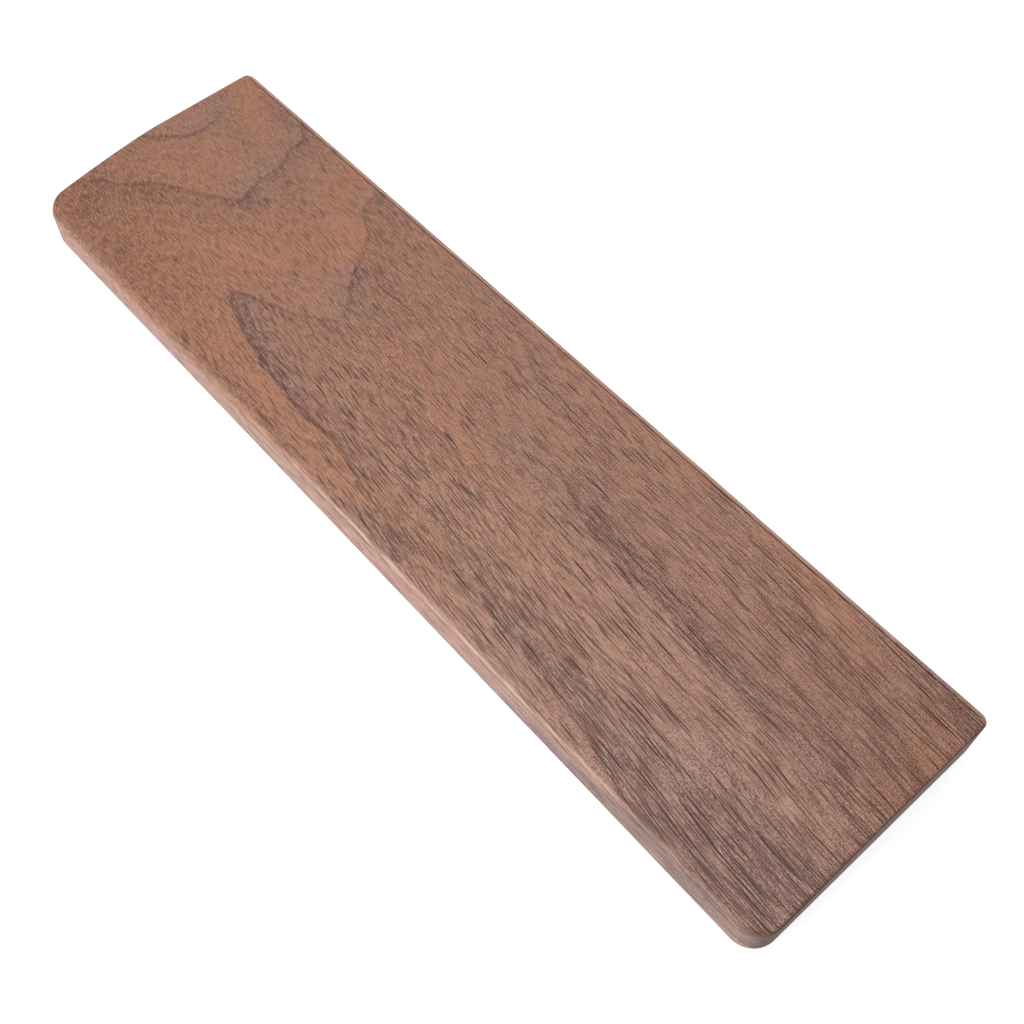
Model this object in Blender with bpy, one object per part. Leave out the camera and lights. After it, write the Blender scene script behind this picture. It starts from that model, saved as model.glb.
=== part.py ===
"""Wooden wrist rest for a compact keyboard: one walnut block on six glued rubber feet.

Frame: +X runs along the block to the user's right, +Y towards the keyboard, +Z up.
The origin lies on the desk, under the middle of the block.  All values are metres.
"""

import math

import bmesh
import bpy
from mathutils import Matrix, Vector

# The block's outside
LENGTH = 0.300
DEPTH = 0.080
REAR_HEIGHT = 0.018           # of the wood alone, along the keyboard
FRONT_HEIGHT = 0.0126         # of the wood alone, along the user's side
LEVEL_TOP_EDGE_Y = 0.0033     # the top is level behind this line and falls away in front of it
FALL_POWER = 1.43             # how quickly the fall steepens towards the front

# The block's rounded corners, seen from above, and its eased edges
FRONT_CORNER_RADIUS = 0.0072
REAR_CORNER_RADIUS = 0.0030
FRONT_TOP_ROUND = 0.0024
REAR_TOP_ROUND = 0.0023
END_TOP_ROUND = 0.0011
BOTTOM_ROUND = 0.0013

# The feet: rubber discs, each on a disc of double-sided adhesive, in a milled seat
FOOT_DIAMETER = 0.010
FOOT_EDGE_ROUND = 0.0005
FOOT_STANDS_PROUD = 0.0010
FOOT_INSET_X = 0.022          # from the block's end to the foot's centre
FOOT_INSET_Y = 0.013          # from the block's long side to the foot's centre
SEAT_DEPTH = 0.0019
SEAT_SIDE_GAP = 0.0004
ADHESIVE_DIAMETER = 0.0094
ADHESIVE_THICKNESS = 0.0003
TOUCH_GAP = 0.0003            # between pieces that touch each other

# How finely the round stretches are divided
CORNER_STEPS = 8
END_STEPS = 14
ROUND_STEPS = 5
DISC_SIDES = 36
FOOT_ROUND_STEPS = 3
SMOOTH_BELOW = math.radians(35)

# Colours (linear RGB), roughness and metallic value
WALNUT = ((0.262, 0.138, 0.086), 0.48, 0.0)
RUBBER = ((0.022, 0.022, 0.023), 0.72, 0.0)
ADHESIVE = ((0.58, 0.57, 0.54), 0.35, 0.0)

# Heights worked out from the values above
WOOD_BOTTOM = FOOT_STANDS_PROUD
SEAT_TOP = WOOD_BOTTOM + SEAT_DEPTH
ADHESIVE_TOP = SEAT_TOP - TOUCH_GAP
ADHESIVE_BOTTOM = ADHESIVE_TOP - ADHESIVE_THICKNESS
FOOT_TOP = ADHESIVE_BOTTOM - TOUCH_GAP
SEAT_DIAMETER = FOOT_DIAMETER + 2 * SEAT_SIDE_GAP
CUTTER_BELOW_WOOD = 0.002


def clear_scene():
    for item in list(bpy.data.objects):
        bpy.data.objects.remove(item, do_unlink=True)


def make_material(name, look):
    colour, roughness, metallic = look
    material = bpy.data.materials.new(name)
    material.use_nodes = True
    shader = material.node_tree.nodes["Principled BSDF"]
    shader.inputs["Base Color"].default_value = (*colour, 1.0)
    shader.inputs["Roughness"].default_value = roughness
    shader.inputs["Metallic"].default_value = metallic
    material.diffuse_color = (*colour, 1.0)
    return material


def add_object(name, mesh, parent, location=(0.0, 0.0, 0.0)):
    item = bpy.data.objects.new(name, mesh)
    item.location = location
    item.parent = parent
    bpy.context.collection.objects.link(item)
    return item


def finish_mesh(bm, name, material):
    bmesh.ops.recalc_face_normals(bm, faces=bm.faces)
    mesh = bpy.data.meshes.new(name)
    bm.to_mesh(mesh)
    bm.free()
    if material:
        mesh.materials.append(material)
    mesh.shade_smooth()
    mesh.set_sharp_from_angle(angle=SMOOTH_BELOW)
    return mesh


def top_height(y):
    """Height of the wood's top above its own underside, at a distance y from the centre line."""
    fall_length = LEVEL_TOP_EDGE_Y + DEPTH / 2
    fallen = max(LEVEL_TOP_EDGE_Y - y, 0.0) / fall_length
    return REAR_HEIGHT - (REAR_HEIGHT - FRONT_HEIGHT) * fallen ** FALL_POWER


def corner_stations(centre, radius, start, end):
    """Points and outward directions round one plan corner."""
    stations = []
    for step in range(CORNER_STEPS + 1):
        angle = start + (end - start) * step / CORNER_STEPS
        outward = Vector((math.cos(angle), math.sin(angle)))
        stations.append((centre + outward * radius, outward))
    return stations


def right_half_stations():
    """The right half of the plan outline, from the front edge round to the rear edge."""
    quarter = math.pi / 2
    front_centre = Vector((LENGTH / 2 - FRONT_CORNER_RADIUS, FRONT_CORNER_RADIUS - DEPTH / 2))
    rear_centre = Vector((LENGTH / 2 - REAR_CORNER_RADIUS, DEPTH / 2 - REAR_CORNER_RADIUS))
    stations = corner_stations(front_centre, FRONT_CORNER_RADIUS, -quarter, 0.0)
    for step in range(1, END_STEPS):
        y = front_centre.y + (rear_centre.y - front_centre.y) * step / END_STEPS
        stations.append((Vector((LENGTH / 2, y)), Vector((1.0, 0.0))))
    stations.extend(corner_stations(rear_centre, REAR_CORNER_RADIUS, 0.0, quarter))
    return stations


def top_round(outward):
    """The top edge's round, which differs between the front, the rear and the two ends."""
    long_side = FRONT_TOP_ROUND if outward.y < 0.0 else REAR_TOP_ROUND
    return END_TOP_ROUND * outward.x ** 2 + long_side * outward.y ** 2


def ring_levels():
    """Each ring as an inset share, a height share and whether it belongs to the top edge."""
    levels = []
    for step in range(ROUND_STEPS + 1):
        angle = math.pi / 2 * step / ROUND_STEPS
        levels.append((1.0 - math.sin(angle), 1.0 - math.cos(angle), False))
    for step in range(ROUND_STEPS + 1):
        angle = math.pi / 2 * step / ROUND_STEPS
        levels.append((1.0 - math.cos(angle), 1.0 - math.sin(angle), True))
    return levels


def ring_point(station, level):
    """One point of the block's skin, on the right half."""
    place, outward = station
    inset_share, drop_share, on_top = level
    size = top_round(outward) if on_top else BOTTOM_ROUND
    point = place - outward * size * inset_share
    height = top_height(point.y) - size * drop_share if on_top else size * drop_share
    return Vector((point.x, point.y, WOOD_BOTTOM + height))


def block_mesh(material):
    """Rings of points stacked from the underside to the top, closed by lengthwise strips."""
    bm = bmesh.new()
    half = right_half_stations()
    rings = []
    for level in ring_levels():
        right = [bm.verts.new(ring_point(station, level)) for station in half]
        left = [bm.verts.new((vert.co.x * -1.0, vert.co.y, vert.co.z)) for vert in right]
        rings.append(right + left[::-1])
    for lower, upper in zip(rings, rings[1:]):
        for index, vert in enumerate(lower):
            following = (index + 1) % len(lower)
            bm.faces.new((vert, lower[following], upper[following], upper[index]))
    bm.faces.new(rings[0][::-1])
    top = rings[-1]
    for index in range(len(half) - 1):
        opposite = len(top) - 1 - index
        bm.faces.new((top[index], top[index + 1], top[opposite - 1], top[opposite]))
    return finish_mesh(bm, "walnut_block", material)


def add_disc(bm, diameter, bottom, top, centre=(0.0, 0.0)):
    """A round solid between two heights."""
    middle = Matrix.Translation((centre[0], centre[1], (bottom + top) / 2))
    bmesh.ops.create_cone(
        bm,
        cap_ends=True,
        segments=DISC_SIDES,
        radius1=diameter / 2,
        radius2=diameter / 2,
        depth=top - bottom,
        matrix=middle,
    )


def foot_mesh(material):
    """A flat rubber disc whose lower rim is eased."""
    bm = bmesh.new()
    add_disc(bm, FOOT_DIAMETER, 0.0, FOOT_TOP)
    middle_height = FOOT_TOP / 2
    rim = [edge for edge in bm.edges if all(vert.co.z < middle_height for vert in edge.verts)]
    bmesh.ops.bevel(
        bm,
        geom=rim,
        offset=FOOT_EDGE_ROUND,
        segments=FOOT_ROUND_STEPS,
        profile=0.5,
        affect="EDGES",
    )
    return finish_mesh(bm, "foot", material)


def adhesive_mesh(material):
    bm = bmesh.new()
    add_disc(bm, ADHESIVE_DIAMETER, ADHESIVE_BOTTOM, ADHESIVE_TOP)
    return finish_mesh(bm, "adhesive", material)


def foot_places():
    """Name and centre of each foot: two rows of three."""
    x = LENGTH / 2 - FOOT_INSET_X
    y = DEPTH / 2 - FOOT_INSET_Y
    places = {}
    for row, row_y in (("front", -y), ("rear", y)):
        for column, column_x in (("left", -x), ("middle", 0.0), ("right", x)):
            places[f"{row}_{column}"] = (column_x, row_y)
    return places


def cut_seats(block, places, parent):
    """Mill a shallow round seat for each foot into the underside."""
    bm = bmesh.new()
    for centre in places.values():
        add_disc(bm, SEAT_DIAMETER, WOOD_BOTTOM - CUTTER_BELOW_WOOD, SEAT_TOP, centre)
    cutter = add_object("seat_cutter", finish_mesh(bm, "seat_cutter", None), parent)
    cutter.hide_render = True
    cutter.display_type = "WIRE"
    cut = block.modifiers.new("foot_seats", "BOOLEAN")
    cut.operation = "DIFFERENCE"
    cut.solver = "EXACT"
    cut.object = cutter


def build():
    clear_scene()
    root = add_object("wrist_rest", None, None)
    places = foot_places()
    block = add_object("walnut_block", block_mesh(make_material("walnut", WALNUT)), root)
    cut_seats(block, places, root)
    foot = foot_mesh(make_material("rubber", RUBBER))
    adhesive = adhesive_mesh(make_material("adhesive", ADHESIVE))
    for name, (x, y) in places.items():
        add_object(f"foot_{name}", foot, root, (x, y, 0.0))
        add_object(f"adhesive_{name}", adhesive, root, (x, y, 0.0))


build()
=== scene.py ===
"""Looks of the walnut wrist rest: a fine mesh and a drawn wood figure for the block, moulded
rubber feet, a pale floor, soft studio light and the camera.  Values are metres unless a
name or comment says millimetres."""

import math

import bmesh
import bpy
import numpy as np
from mathutils import Euler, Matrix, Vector


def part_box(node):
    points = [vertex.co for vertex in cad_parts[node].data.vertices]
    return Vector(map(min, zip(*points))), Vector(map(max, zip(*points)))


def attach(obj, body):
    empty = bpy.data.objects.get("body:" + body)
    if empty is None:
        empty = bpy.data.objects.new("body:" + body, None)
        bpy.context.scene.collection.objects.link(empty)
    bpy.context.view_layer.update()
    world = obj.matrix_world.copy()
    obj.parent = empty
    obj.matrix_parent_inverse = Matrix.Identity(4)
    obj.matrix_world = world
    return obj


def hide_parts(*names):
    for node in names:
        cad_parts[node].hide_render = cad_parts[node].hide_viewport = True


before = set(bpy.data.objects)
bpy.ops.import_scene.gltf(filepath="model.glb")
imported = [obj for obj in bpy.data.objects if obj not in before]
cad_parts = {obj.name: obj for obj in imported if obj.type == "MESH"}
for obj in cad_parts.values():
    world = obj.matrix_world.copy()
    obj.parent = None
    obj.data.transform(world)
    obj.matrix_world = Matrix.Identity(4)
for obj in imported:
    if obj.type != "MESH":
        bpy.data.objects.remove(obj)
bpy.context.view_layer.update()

BLOCK_LOW, BLOCK_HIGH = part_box("walnut_block")
MM = 0.001
BODY = "root"

# ---------------------------------------------------------------- the block's shape
# The same shape as the CAD block, more finely divided.
LENGTH = BLOCK_HIGH.x - BLOCK_LOW.x
DEPTH = BLOCK_HIGH.y - BLOCK_LOW.y
WOOD_BOTTOM = BLOCK_LOW.z
REAR_HEIGHT = BLOCK_HIGH.z - BLOCK_LOW.z
FRONT_HEIGHT = 12.6 * MM
LEVEL_TOP_EDGE_Y = 3.3 * MM
FALL_POWER = 1.43
FRONT_CORNER_RADIUS = 7.2 * MM
REAR_CORNER_RADIUS = 3.0 * MM
FRONT_TOP_ROUND = 2.4 * MM
REAR_TOP_ROUND = 2.3 * MM
END_TOP_ROUND = 1.1 * MM
BOTTOM_ROUND = 1.3 * MM
SEAT_DEPTH = 1.9 * MM
SEAT_SIDE_GAP = 0.4 * MM

# How many faces the block has round each plan corner, along an end between the corners, round
# each soft edge, up the side between those, and along the length.
CORNER_STEPS = 12
END_STEPS = 62
ROUND_STEPS = 7
WALL_STEPS = 7
LENGTH_STEPS = 200
SEAT_SIDES = 96
SMOOTH_BELOW = math.radians(40)


def top_height(y):
    """Height of the top above the wood's underside, for an array of distances behind the middle."""
    fall_length = LEVEL_TOP_EDGE_Y + DEPTH / 2
    fallen = np.maximum(LEVEL_TOP_EDGE_Y - y, 0.0) / fall_length
    return REAR_HEIGHT - (REAR_HEIGHT - FRONT_HEIGHT) * fallen ** FALL_POWER


def drop_below_top(points):
    """How far below the top's surface each point is, going down the sides."""
    return np.maximum(WOOD_BOTTOM + top_height(points[:, 1]) - points[:, 2], 0.0)


def arc(centre, radius, start, end):
    """Points and outward directions round one plan corner."""
    angle = np.linspace(start, end, CORNER_STEPS + 1)
    outward = np.stack([np.cos(angle), np.sin(angle)], axis=1)
    return np.array(centre) + outward * radius, outward


def right_half():
    """The right half of the plan outline from front to rear, with its outward directions."""
    quarter = math.pi / 2
    front_y = FRONT_CORNER_RADIUS - DEPTH / 2
    rear_y = DEPTH / 2 - REAR_CORNER_RADIUS
    front_centre = (LENGTH / 2 - FRONT_CORNER_RADIUS, front_y)
    rear_centre = (LENGTH / 2 - REAR_CORNER_RADIUS, rear_y)
    front, front_out = arc(front_centre, FRONT_CORNER_RADIUS, -quarter, 0.0)
    rear, rear_out = arc(rear_centre, REAR_CORNER_RADIUS, 0.0, quarter)
    straight_y = np.linspace(front_y, rear_y, END_STEPS + 1)[1:-1]
    straight = np.stack([np.full_like(straight_y, LENGTH / 2), straight_y], axis=1)
    straight_out = np.tile((1.0, 0.0), (len(straight_y), 1))
    return np.vstack([front, straight, rear]), np.vstack([front_out, straight_out, rear_out])


def ring_levels():
    """Each ring of points round the block, from the underside up to the top: its inset share,
    its height share and its kind, which is bottom round, wall or top round."""
    levels = []
    for angle in np.linspace(0.0, math.pi / 2, ROUND_STEPS + 1):
        levels.append((1.0 - math.sin(angle), 1.0 - math.cos(angle), "bottom"))
    for share in np.linspace(0.0, 1.0, WALL_STEPS + 1)[1:-1]:
        levels.append((0.0, share, "wall"))
    for angle in np.linspace(0.0, math.pi / 2, ROUND_STEPS + 1):
        levels.append((1.0 - math.cos(angle), 1.0 - math.sin(angle), "top"))
    return levels


def half_ring(outline, outward, level):
    """One ring's points along the right half."""
    inset_share, share, kind = level
    long_side = np.where(outward[:, 1] < 0.0, FRONT_TOP_ROUND, REAR_TOP_ROUND)
    top_size = END_TOP_ROUND * outward[:, 0] ** 2 + long_side * outward[:, 1] ** 2
    size = np.full(len(outline), BOTTOM_ROUND) if kind == "bottom" else top_size
    plan = outline - outward * (size * inset_share)[:, None]
    height = size * share
    if kind == "wall":
        height = BOTTOM_ROUND + share * (top_height(plan[:, 1]) - top_size - BOTTOM_ROUND)
    if kind == "top":
        height = top_height(plan[:, 1]) - size * share
    return np.column_stack([plan, WOOD_BOTTOM + height])


def full_ring(half):
    """A closed ring: right half, rear edge, left half, front edge."""
    left = half[::-1] * (-1.0, 1.0, 1.0)
    share = np.linspace(0.0, 1.0, LENGTH_STEPS + 1)[1:-1, None]
    rear = half[-1] + (left[0] - half[-1]) * share
    front = left[-1] + (half[0] - left[-1]) * share
    return np.vstack([half, rear, left, front])


class MeshDraft:
    """Collects points and faces by number."""

    def __init__(self):
        self.points = []
        self.faces = []

    def add(self, points):
        first = len(self.points)
        self.points.extend(map(tuple, points))
        return list(range(first, first + len(points)))


def fill_ring(draft, ring, half_count, row_height, upward):
    """Rows of quads across the area inside a ring, from its right half to its left half."""
    right = ring[:half_count]
    left = ring[half_count + LENGTH_STEPS - 1:2 * half_count + LENGTH_STEPS - 1][::-1]
    front = [left[0]] + ring[2 * half_count + LENGTH_STEPS - 1:] + [right[0]]
    rear = [left[-1]] + ring[half_count:half_count + LENGTH_STEPS - 1][::-1] + [right[-1]]
    share = np.linspace(0.0, 1.0, LENGTH_STEPS + 1)[1:-1]
    rows = [front]
    for start, end in zip(left[1:-1], right[1:-1]):
        low, high = np.array(draft.points[start]), np.array(draft.points[end])
        inner = low + (high - low) * share[:, None]
        inner[:, 2] = row_height(inner[:, 1])
        rows.append([start] + draft.add(inner) + [end])
    rows.append(rear)
    for near, far in zip(rows, rows[1:]):
        for index in range(LENGTH_STEPS):
            face = (near[index], near[index + 1], far[index + 1], far[index])
            draft.faces.append(face if upward else face[::-1])


def block_shell():
    """The block without its foot seats."""
    outline, outward = right_half()
    draft = MeshDraft()
    rings = [draft.add(full_ring(half_ring(outline, outward, level))) for level in ring_levels()]
    for lower, upper in zip(rings, rings[1:]):
        for index, point in enumerate(lower):
            following = (index + 1) % len(lower)
            draft.faces.append((point, lower[following], upper[following], upper[index]))
    fill_ring(draft, rings[0], len(outline), lambda y: np.full(len(y), WOOD_BOTTOM), False)
    fill_ring(draft, rings[-1], len(outline), lambda y: WOOD_BOTTOM + top_height(y), True)
    mesh = bpy.data.meshes.new("walnut_shell")
    mesh.from_pydata(draft.points, [], draft.faces)
    mesh.update()
    return mesh


def link(item):
    bpy.context.scene.collection.objects.link(item)
    return item


def evaluated_copy(item, name):
    """The object's mesh with its modifiers applied."""
    bpy.context.view_layer.update()
    depsgraph = bpy.context.evaluated_depsgraph_get()
    mesh = bpy.data.meshes.new_from_object(item.evaluated_get(depsgraph))
    mesh.name = name
    return mesh


def foot_names():
    return sorted(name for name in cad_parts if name.startswith("foot_"))


def cut_seats(shell):
    """The block with a milled seat for each foot."""
    bm = bmesh.new()
    for name in foot_names():
        low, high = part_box(name)
        centre = (low + high) / 2
        radius = (high.x - low.x) / 2 + SEAT_SIDE_GAP
        top = WOOD_BOTTOM + SEAT_DEPTH
        before = set(bm.verts)
        bmesh.ops.create_cone(
            bm, cap_ends=True, segments=SEAT_SIDES, radius1=radius, radius2=radius, depth=2 * SEAT_DEPTH
        )
        fresh = [vert for vert in bm.verts if vert not in before]
        bmesh.ops.translate(bm, verts=fresh, vec=(centre.x, centre.y, top - SEAT_DEPTH))
    cutter_mesh = bpy.data.meshes.new("seat_cutter")
    bm.to_mesh(cutter_mesh)
    bm.free()
    block = link(bpy.data.objects.new("shell", shell))
    cutter = link(bpy.data.objects.new("seat_cutter", cutter_mesh))
    cut = block.modifiers.new("seats", "BOOLEAN")
    cut.operation = "DIFFERENCE"
    cut.solver = "EXACT"
    cut.object = cutter
    mesh = evaluated_copy(block, "wood_block")
    bpy.data.objects.remove(block)
    bpy.data.objects.remove(cutter)
    return mesh


# ---------------------------------------------------------------- the wood's figure
# Growth lines on the top, each drawn as a path with the new year's porous wood on its
# right-hand side.  Each holds the darkness of its thin line, the darkness and reach
# (millimetres) of the soft band beside it, how much darker and more porous the new wood beyond
# it is, and its points: millimetres right of and behind the middle, and a strength, 0 to 1.
GROWTH_LINES = {
    "end_arc": (0.60, 0.20, 3.5, 0.0, [
        (-151, -5, 0.9), (-147, -1.5, 1.0), (-143, 3, 1.0), (-139, 8.5, 0.9), (-138.3, 14, 0.7),
        (-140, 21, 0.5), (-142.5, 27, 0.2), (-147, 34, 0.0),
    ]),
    "end_cathedral": (0.60, 0.34, 3.0, 0.6, [
        (-152, -33, 0.3), (-148, -27.5, 0.4), (-143, -21.5, 0.5), (-136.5, -17.5, 0.7), (-130.5, -11, 0.75),
        (-123, -6.5, 0.65), (-114, -1.8, 0.8), (-107.5, 2.6, 0.95), (-105.5, 5.5, 0.9), (-108, 10, 0.6),
        (-109, 17, 0.6), (-110, 24, 0.7), (-113, 28.5, 0.9), (-113.6, 33.5, 1.0), (-118, 36.8, 0.9),
        (-123, 41, 0.7),
    ]),
    "main_cathedral": (0.70, 0.30, 3.2, 0.9, [
        (-14, -40, 0.2), (-5, -37.6, 0.25), (0.5, -36, 0.25), (4.4, -33.6, 0.2), (1.5, -31.9, 0.2),
        (-3, -31.2, 0.25), (-9, -29.6, 0.45), (-15, -28.4, 0.6), (-22, -27.9, 0.75), (-31, -28, 0.85),
        (-42, -27.7, 0.95), (-50, -26.8, 1.0), (-57, -25.5, 1.0), (-65, -24.3, 0.9), (-73, -22, 0.8),
        (-79, -19.6, 0.6), (-80, -17.8, 0.5), (-74.5, -15.1, 0.6), (-68, -12.4, 0.55), (-62, -10.4, 0.5),
        (-57, -7.6, 0.45), (-52.2, -4.4, 0.4), (-50.2, -0.5, 0.4), (-52, 3, 0.5), (-56.5, 7.4, 0.65),
        (-60.5, 11.4, 0.6), (-63, 15.5, 0.55), (-66.3, 20, 0.45), (-69, 24, 0.45), (-72.5, 26, 0.5),
        (-77.5, 29, 0.45), (-80, 33, 0.5), (-80, 41, 0.45),
    ]),
    "right_finger": (0.15, 0.50, 4.5, 0.5, [
        (152, -7.2, 0.2), (142, -4.6, 0.25), (133, -3.1, 0.3), (122, -2, 0.35), (110, -1.3, 0.5),
        (98, -0.6, 0.7), (88, 0.5, 0.9), (79, 1.4, 1.0), (69, 2.2, 1.0), (59, 2.4, 1.0), (50, 3.3, 0.9),
        (44.5, 4.4, 0.8), (40, 5.9, 0.8), (35.8, 7.4, 0.7), (32.4, 9.6, 0.6), (31.3, 12.4, 0.55),
        (32.2, 15.4, 0.5), (35, 17.4, 0.35), (40, 18, 0.3), (48, 17, 0.2), (60, 15.5, 0.0),
    ]),
    "rear_right": (0.10, 0.42, 3.0, 0.4, [
        (84, 36, 0.2), (90, 32.4, 0.5), (96, 30.3, 0.7), (102, 28.4, 0.8), (109, 27, 0.8), (117, 25.3, 0.8),
        (123, 23.1, 0.8), (130, 21, 0.9), (138, 19.6, 1.0), (146, 17.4, 1.0), (153, 15.4, 1.0),
    ]),
    "rear_corner": (0.10, 0.55, 6.0, 0.6, [
        (153, 30.5, 1.0), (146, 32.6, 1.0), (139, 33.9, 0.9), (133.5, 36.2, 0.7), (128, 39, 0.5),
        (124, 41, 0.3),
    ]),
    "front_right": (0.35, 0.55, 3.2, 0.6, [
        (122, -41, 0.7), (113, -39.2, 0.8), (104, -38.2, 0.8), (97, -36.9, 0.8), (90, -35, 0.8),
        (84, -33.9, 0.8), (76, -32.8, 0.8), (68, -31.7, 0.9), (61, -31.1, 1.0), (54, -30.7, 1.0),
        (46, -30.3, 0.7), (38, -30, 0.5), (31, -30.6, 0.5), (24, -31.6, 0.6), (20.8, -33.6, 0.7),
        (20.6, -36.5, 0.7), (18.5, -41, 0.6),
    ]),
}

# Soft streaks: darkness (negative is lighter), half width and points, both in millimetres.
STREAKS = [
    (0.40, 2.6, [(-60, 14), (-53, 16.5), (-46, 15), (-36, 14)]),
    (0.40, 2.5, [(-78, 36), (-72, 33.5), (-66, 34)]),
    (0.35, 1.6, [(-69, 28), (-62, 27), (-56, 26)]),
    (0.45, 3.0, [(-134, 36), (-129, 35), (-122, 36)]),
    (0.35, 4.0, [(-106, 20), (-100, 17), (-92, 16)]),
    (0.45, 3.0, [(-106, 8), (-103, 5.5), (-100, 5)]),
    (0.35, 3.2, [(-133, -14), (-128, -14.5), (-124, -13)]),
    (0.35, 3.4, [(-143, -23), (-139, -28), (-137, -33)]),
    (0.22, 1.6, [(-128, -29), (-112, -31), (-98, -29), (-88, -29)]),
    (0.55, 1.1, [(-76, -39.2), (-66, -37.1), (-57, -36.3), (-46, -36.8), (-36, -37.4), (-26, -39)]),
    (0.36, 2.2, [
        (-26, 38), (-17, 36), (-9, 34), (-3, 31), (3, 28), (9, 25.3), (17, 24.2), (27, 23.4), (40, 21.6),
    ]),
    (0.25, 2.8, [(-26, 27.5), (-18, 25.6), (-8, 21), (2, 20.5)]),
    (0.28, 2.8, [(4, -36), (10, -34.2), (16, -33.6)]),
    (0.18, 2.4, [(12, -37.5), (17, -36.5), (20, -33)]),
    (0.40, 2.0, [(-76, -17.5), (-71, -20.5), (-63, -22.8), (-56, -24)]),
    (0.40, 2.0, [(44, 7), (56, 6.2), (68, 7.4), (80, 6), (92, 4.6), (106, 3.6)]),
    (0.20, 2.4, [(44, 12.5), (56, 12), (66, 13)]),
    (0.22, 1.3, [(44, 27.8), (54, 28.6), (63, 30), (70, 27.4), (78, 26.4), (86, 24.4)]),
    (0.28, 1.6, [(38, 30.5), (46, 31.5)]),
    (0.18, 1.5, [(60, 36), (70, 34), (77, 31.8), (86, 31)]),
    (0.30, 1.8, [(90, 21), (104, 20), (116, 18)]),
    (0.24, 2.2, [(100, 13), (112, 10), (124, 7), (138, 4.6), (150, 4.6)]),
    (0.22, 1.6, [(-30, -12), (-18, -13), (-4, -15), (8, -12.5)]),
    (0.22, 1.4, [(-26, -6), (-14, -8), (4, -7), (20, -8), (40, -8.6), (60, -10), (84, -10.6)]),
    (0.30, 2.0, [(12, -22), (22, -22.5), (34, -23), (48, -21.5), (58, -20.5)]),
    (0.25, 3.0, [(44, -26), (56, -25.5), (68, -25), (80, -25.4)]),
    (0.40, 1.8, [(70, -25.6), (80, -25.4), (90, -24), (104, -25.6), (122, -27)]),
    (0.30, 1.6, [(112, -22.4), (120, -23), (128, -21.5), (148, -22)]),
    (0.32, 1.4, [(84, -30.4), (96, -32), (108, -33.5), (122, -35.6), (134, -37.5)]),
    (0.30, 2.4, [(128, -26.4), (140, -25.2), (151, -25.8)]),
    (-0.30, 4.5, [(-131, 12), (-124, 9), (-118, 12)]),
    (-0.35, 4.0, [(-147, 36), (-141, 32), (-132, 29)]),
    (-0.28, 4.0, [(-106, -17), (-97, -12), (-88, -6), (-80, -3)]),
    (-0.25, 3.0, [(-104, 28), (-100, 28)]),
    (-0.35, 3.4, [(-78, 20), (-72, 21), (-69, 17), (-66, 12)]),
    (-0.30, 3.0, [(-64, -3), (-57, -3.5), (-54, -1)]),
    (-0.25, 3.0, [(-30, 11), (-20, 12), (-12, 11), (-4, 4)]),
    (-0.25, 2.5, [(-10, -1), (0, -2.5), (8, -1.5)]),
    (-0.25, 1.8, [(50, -5), (66, -4), (80, -2.6), (96, -4), (110, -6), (124, -7), (140, -9)]),
    (-0.25, 2.0, [(66, -12.5), (78, -14), (90, -13)]),
    (-0.30, 2.5, [(128, -11.5), (136, -13), (144, -12)]),
    (-0.20, 2.0, [(48, 16.5), (62, 17.5), (76, 19), (84, 15)]),
    (-0.25, 2.0, [(94, 34), (106, 31.5), (118, 29)]),
    (-0.25, 1.5, [(-62, -31), (-40, -32), (-20, -34), (-6, -34.5), (2, -33.5)]),
    (-0.20, 2.5, [(26, -35), (44, -34.5), (60, -36), (76, -37.5)]),
]

# Where the wood is more orange (positive) or more purple: amount, half width, points.
WARM_STREAKS = [
    (0.9, 9.0, [(-150, -38), (-120, -38), (-95, -36), (-78, -33)]),
    (0.6, 9.0, [(-118, -22), (-100, -14), (-86, -4)]),
    (0.7, 7.0, [(-84, 6), (-74, 14), (-68, 22)]),
    (0.8, 4.5, [(-78, -29), (-50, -31), (-24, -32), (-4, -32), (24, -30)]),
    (0.20, 8.0, [(106, 26), (130, 22), (150, 20)]),
    (0.35, 6.0, [(140, 37), (146, 22), (146, 4)]),
    (0.4, 5.0, [(-92, 38), (-88, 26)]),
    (0.4, 5.0, [(-145, 36), (-138, 30)]),
    (0.25, 5.0, [(84, 37), (100, 34), (118, 30)]),
    (0.25, 9.0, [(-30, 8), (-10, 2), (8, -6)]),
    (-0.8, 4.0, [(-144, 24), (-142, 14), (-144, 8)]),
    (-0.8, 5.0, [(-112, 22), (-107, 8)]),
    (-0.6, 4.0, [(-128, 36), (-118, 35)]),
    (-0.7, 3.5, [(-76, -17.5), (-68, -21), (-56, -24), (-40, -26)]),
    (-0.6, 3.5, [(-62, 12), (-56, 8), (-51, 2)]),
    (-0.4, 4.0, [(-2, 30), (8, 25)]),
    (-0.5, 4.0, [(14, 10), (30, 6), (44, 4), (60, 3.4), (80, 3), (104, 1.6), (130, -1)]),
    (-0.5, 3.0, [(34, 12), (40, 14)]),
    (-0.5, 4.0, [(4, -35), (16, -34)]),
    (-0.2, 4.5, [(48, -30), (64, -31), (80, -30), (96, -30)]),
    (-0.1, 6.0, [(134, 37), (146, 35)]),
    (-0.8, 12.0, [(112, -26), (130, -30), (150, -30)]),
]


GROWTH_LINE_STEP = 0.8       # how finely the two kinds of path are divided, millimetres
STREAK_STEP = 2.0


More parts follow.
